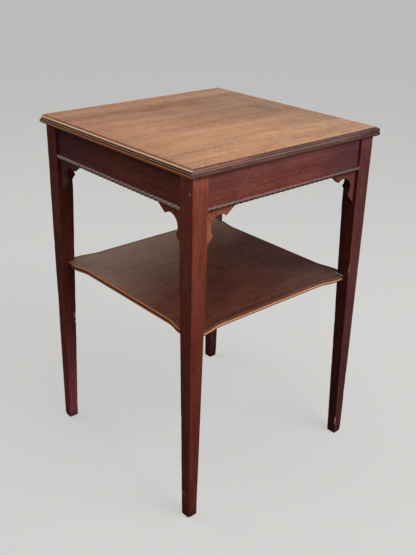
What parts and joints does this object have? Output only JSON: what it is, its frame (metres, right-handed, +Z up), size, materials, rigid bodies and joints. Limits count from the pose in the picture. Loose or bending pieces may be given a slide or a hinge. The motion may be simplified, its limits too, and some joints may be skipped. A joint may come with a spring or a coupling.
{
  "type": "occasional table",
  "caption": "Square mahogany end table: moulded top, tapered legs, beaded aprons with fretted corner brackets, and a reeded shelf with flared corners.",
  "frame": {"origin": "on the floor under the middle of the top", "axes": "+Z up; the front is towards -Y and the right side towards +X; all four sides are alike"},
  "size_m": [0.46, 0.46, 0.69],
  "materials": {
    "top_mahogany": "satin",
    "leg_mahogany": "satin",
    "apron_mahogany": "satin",
    "bead_mahogany": "satin",
    "bracket_mahogany": "satin",
    "shelf_mahogany": "satin",
    "block_pine": "matte",
    "screw_steel": "satin",
    "pin_steel": "satin"
  },
  "bodies": {
    "root": {"table_top": "top_mahogany", "shelf": "shelf_mahogany", "leg_front_left": "leg_mahogany", "leg_front_right": "leg_mahogany", "leg_back_right": "leg_mahogany", "leg_back_left": "leg_mahogany", "apron_front": "apron_mahogany", "apron_right": "apron_mahogany", "apron_back": "apron_mahogany", "apron_left": "apron_mahogany", "bead_front": "bead_mahogany", "bead_right": "bead_mahogany", "bead_back": "bead_mahogany", "bead_left": "bead_mahogany", "bracket_front_left": "bracket_mahogany", "bracket_front_right": "bracket_mahogany", "bracket_right_front": "bracket_mahogany", "bracket_right_back": "bracket_mahogany", "bracket_back_right": "bracket_mahogany", "bracket_back_left": "bracket_mahogany", "bracket_left_back": "bracket_mahogany", "bracket_left_front": "bracket_mahogany", "glue_block_front_left": "block_pine", "glue_block_front_right": "block_pine", "glue_block_right_front": "block_pine", "glue_block_right_back": "block_pine", "glue_block_back_right": "block_pine", "glue_block_back_left": "block_pine", "glue_block_left_back": "block_pine", "glue_block_left_front": "block_pine", "top_screws": "screw_steel", "bracket_pins": "pin_steel", "bead_pins": "pin_steel"}
  },
  "joints": []
}
